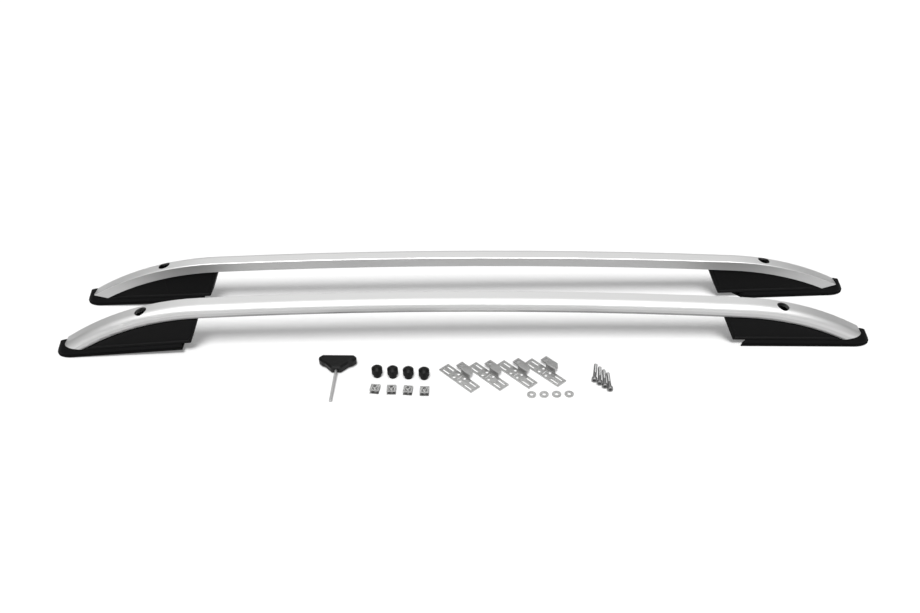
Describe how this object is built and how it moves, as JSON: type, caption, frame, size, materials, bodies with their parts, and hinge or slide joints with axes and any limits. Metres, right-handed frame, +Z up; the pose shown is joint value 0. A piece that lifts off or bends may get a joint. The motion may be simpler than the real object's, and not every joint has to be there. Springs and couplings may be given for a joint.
{
  "type": "roof side rail pair",
  "caption": "Pair of silver roof side rails on black moulded feet with rubber gaskets, laid out with hole caps, clip nuts, slotted brackets, washers, bolts and a T-handled hex key.",
  "frame": {"origin": "on the roof plane under the middle of the laid-out set's box", "axes": "+X along the rails from the front feet to the rear feet, +Y from the kit towards the right rail, +Z up"},
  "size_m": [1.5058, 0.327, 0.1073],
  "materials": {
    "rail_silver": "satin",
    "foot_black": "matte",
    "gasket_rubber": "matte",
    "screw_steel": "satin",
    "cap_black": "satin",
    "clip_steel": "satin",
    "bracket_steel": "satin",
    "washer_steel": "satin",
    "bolt_steel": "satin",
    "handle_black": "satin",
    "key_steel": "satin"
  },
  "bodies": {
    "root": {"bolts": "bolt_steel", "bracket_1": "bracket_steel", "bracket_2": "bracket_steel", "bracket_3": "bracket_steel", "bracket_4": "bracket_steel", "clip_nut_1": "clip_steel", "clip_nut_2": "clip_steel", "clip_nut_3": "clip_steel", "clip_nut_4": "clip_steel", "foot_screws": "screw_steel", "hole_cap_1": "cap_black", "hole_cap_2": "cap_black", "hole_cap_3": "cap_black", "hole_cap_4": "cap_black", "key_handle": "handle_black", "key_shaft": "key_steel", "left_front_foot": "foot_black", "left_front_gasket": "gasket_rubber", "left_rail_bar": "rail_silver", "left_rear_foot": "foot_black", "left_rear_gasket": "gasket_rubber", "right_front_foot": "foot_black", "right_front_gasket": "gasket_rubber", "right_rail_bar": "rail_silver", "right_rear_foot": "foot_black", "right_rear_gasket": "gasket_rubber", "washers": "washer_steel"}
  },
  "joints": []
}
